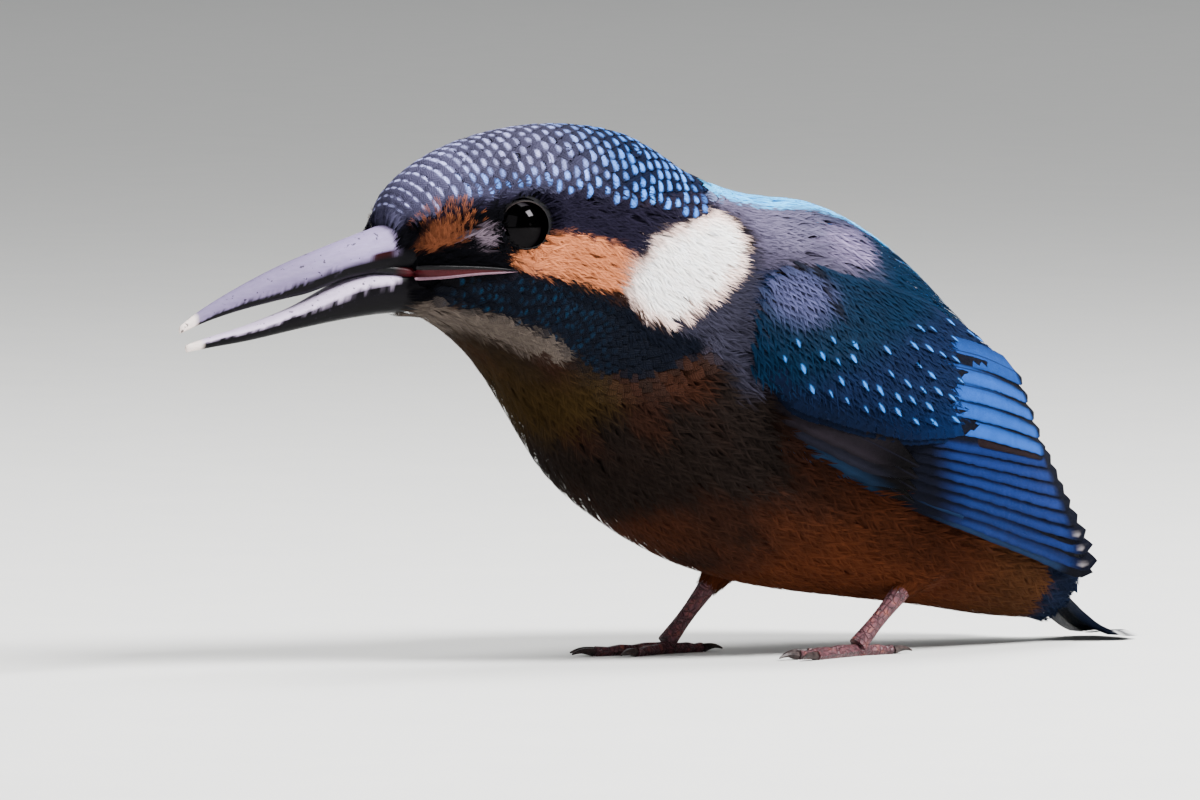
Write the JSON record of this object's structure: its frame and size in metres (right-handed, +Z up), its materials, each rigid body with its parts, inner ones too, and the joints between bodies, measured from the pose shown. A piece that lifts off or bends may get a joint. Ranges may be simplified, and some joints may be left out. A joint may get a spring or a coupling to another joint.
{
  "type": "kingfisher model",
  "caption": "Life-size still kingfisher leaning forward on its feet and the tip of its short tail, with a long dagger bill a little open and folded wings.",
  "frame": {"origin": "on the floor, under the middle of the bird's bounding box", "axes": "-Y towards the bill, +X towards the bird's left side, +Z up"},
  "size_m": [0.0432, 0.1588, 0.0737],
  "materials": {
    "crown": "short close feathers with pale blue spots",
    "breast": "soft loose feathers",
    "wing": "close feathers with pale blue spots",
    "flight": "stiff blue flight feathers",
    "tail": "stiff dark blue tail feathers",
    "bill": "smooth horn with a low gloss",
    "eye": "wet gloss",
    "leg": "fine scaly skin",
    "claw": "smooth dark horn"
  },
  "bodies": {
    "root": {"head": "crown", "neck": "breast", "trunk": "breast", "rump": "breast", "bill_upper": "bill", "bill_lower": "bill", "eye_left": "eye", "eye_right": "eye", "wing_left_coverts": "wing", "wing_left_secondaries": "flight", "wing_left_primaries": "flight", "wing_right_coverts": "wing", "wing_right_secondaries": "flight", "wing_right_primaries": "flight", "tail": "tail", "thigh_left": "breast", "thigh_right": "breast", "foot_left": "leg", "foot_right": "leg", "claw_left_hind": "claw", "claw_left_inner": "claw", "claw_left_middle": "claw", "claw_left_outer": "claw", "claw_right_hind": "claw", "claw_right_inner": "claw", "claw_right_middle": "claw", "claw_right_outer": "claw"}
  },
  "joints": []
}
